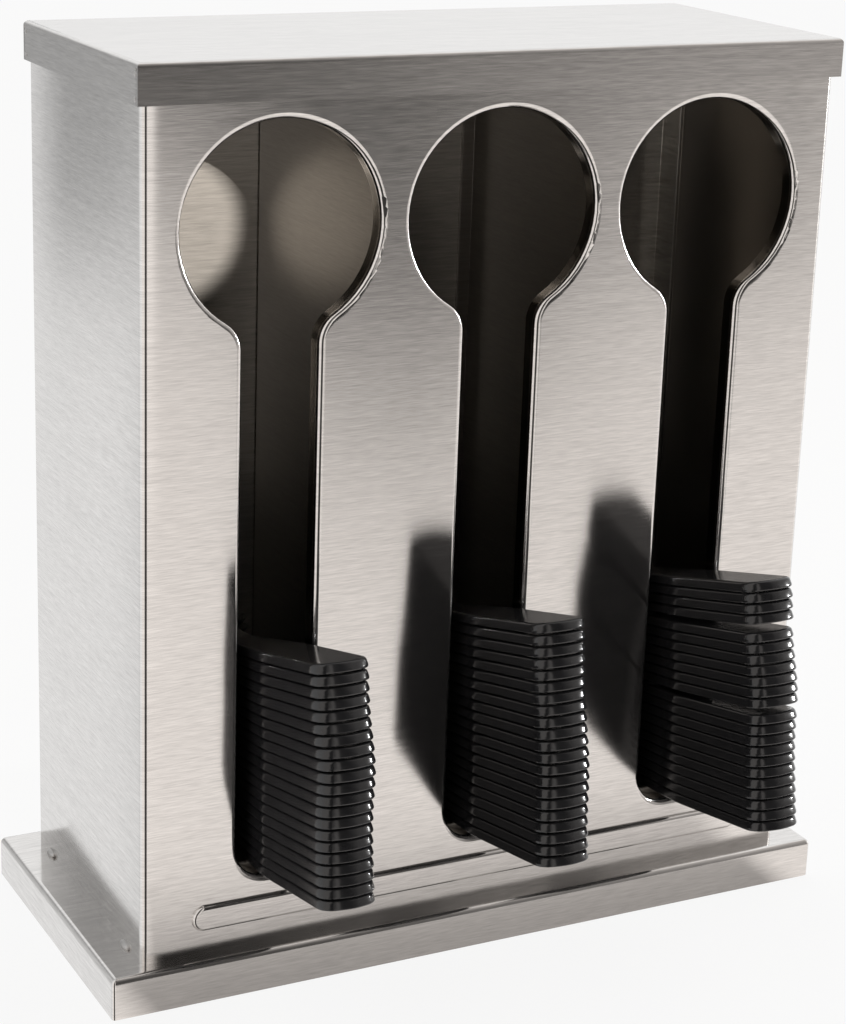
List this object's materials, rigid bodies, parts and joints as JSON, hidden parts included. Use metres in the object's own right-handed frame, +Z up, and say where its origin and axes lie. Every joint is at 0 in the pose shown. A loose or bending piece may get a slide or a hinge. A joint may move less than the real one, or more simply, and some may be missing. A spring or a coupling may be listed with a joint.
{
  "type": "cutlery dispenser",
  "caption": "Free-standing stainless steel cutlery dispenser with keyhole fronts, lift-off lid and stacks of black plastic spoons, forks and knives.",
  "frame": {"origin": "on the surface that the dispenser stands on, at the middle of the loaded object's footprint box", "axes": "+Z up, +X to the right seen from the front, the front faces -Y"},
  "size_m": [0.264, 0.1725, 0.298],
  "materials": {
    "steel": "satin stainless steel, grain along the width",
    "steel_inner": "satin stainless steel, unpolished inside faces",
    "weld": "ground weld metal",
    "black_plastic": "semi-gloss moulded polystyrene"
  },
  "bodies": {
    "housing": {"base_tray": "steel", "body_shell": "steel", "back_panel": "steel_inner", "divider_left": "steel_inner", "divider_right": "steel_inner", "floor_left": "steel_inner", "floor_centre": "steel_inner", "floor_right": "steel_inner", "tack_welds": "weld", "spoon_stack_upper": "black_plastic", "spoon_stack_middle": "black_plastic", "spoon_stack_lower": "black_plastic", "fork_stack_upper": "black_plastic", "fork_stack_middle": "black_plastic", "fork_stack_lower": "black_plastic", "knife_stack_upper": "black_plastic", "knife_stack_middle": "black_plastic", "knife_stack_lower": "black_plastic"},
    "lid": {"lid": "steel", "lid_corner_welds": "weld"},
    "spoon": {"spoon_top": "black_plastic"},
    "fork": {"fork_top": "black_plastic"},
    "knife": {"knife_top": "black_plastic"}
  },
  "joints": [
    {"name": "lid_lift", "type": "slide", "parent": "housing", "child": "lid", "axis": [0, 0, 1], "range_m": [0, 0.06]},
    {"name": "spoon_lift", "type": "slide", "parent": "housing", "child": "spoon", "axis": [0, 0, 1], "range_m": [0, 0.125]},
    {"name": "fork_lift", "type": "slide", "parent": "housing", "child": "fork", "axis": [0, 0, 1], "range_m": [0, 0.122]},
    {"name": "knife_pull", "type": "slide", "parent": "housing", "child": "knife", "axis": [0, -0.9641, 0.2656], "range_m": [0, 0.12]}
  ]
}
